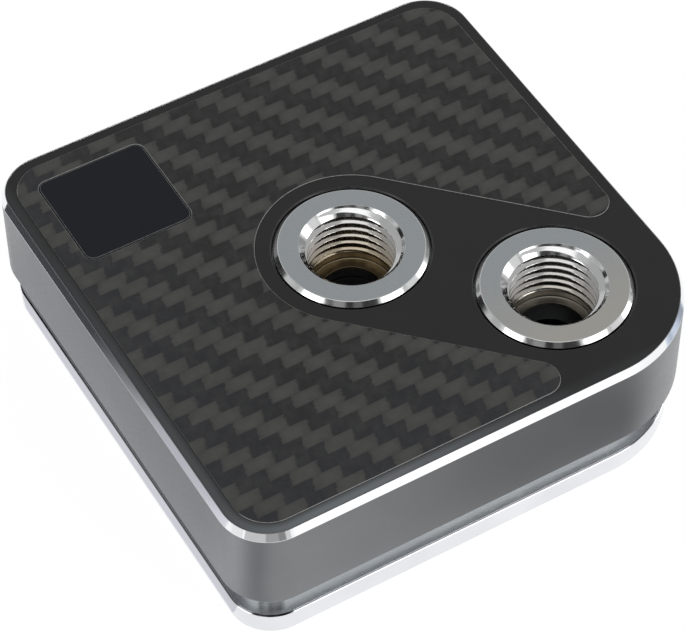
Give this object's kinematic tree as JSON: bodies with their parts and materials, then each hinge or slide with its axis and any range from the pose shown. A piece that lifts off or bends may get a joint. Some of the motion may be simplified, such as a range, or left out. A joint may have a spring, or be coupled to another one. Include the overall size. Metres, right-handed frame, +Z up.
{
  "type": "liquid cooling cold plate",
  "caption": "Square metal liquid cooling cold plate with a carbon fibre top, threaded ports on the diagonal and a polished finned base under an open groove.",
  "frame": {"origin": "middle of the cold plate's contact face, at the bottom centre of the whole part", "axes": "+Z up from the contact face to the ports; the outlet and the large round corner lie towards +X -Y, the badge plate towards -X +Y"},
  "size_m": [0.071, 0.071, 0.0218],
  "materials": {
    "satin_metal": "satin",
    "polished_metal": "polished",
    "black_metal": "satin",
    "carbon_fibre": "satin",
    "badge_gloss": "gloss",
    "guide_plastic": "matte",
    "seal_rubber": "matte",
    "sheet_steel": "satin",
    "screw_steel": "satin"
  },
  "bodies": {
    "root": {"cold_plate": "polished_metal", "housing": "satin_metal", "cover_plate": "black_metal", "carbon_inlay": "carbon_fibre", "badge_plate": "badge_gloss", "inlet_collar": "polished_metal", "outlet_collar": "polished_metal", "inlet_collar_seal": "seal_rubber", "outlet_collar_seal": "seal_rubber", "guide_seal": "seal_rubber", "base_seal": "seal_rubber", "jet_plate": "sheet_steel", "flow_guide": "guide_plastic", "base_screw_1": "screw_steel", "base_screw_2": "screw_steel", "base_screw_3": "screw_steel", "base_screw_4": "screw_steel", "base_screw_5": "screw_steel", "base_screw_6": "screw_steel", "base_screw_7": "screw_steel", "base_screw_8": "screw_steel", "cover_screw_1": "screw_steel", "cover_screw_2": "screw_steel", "cover_screw_3": "screw_steel", "cover_screw_4": "screw_steel", "cover_screw_5": "screw_steel"}
  },
  "joints": []
}
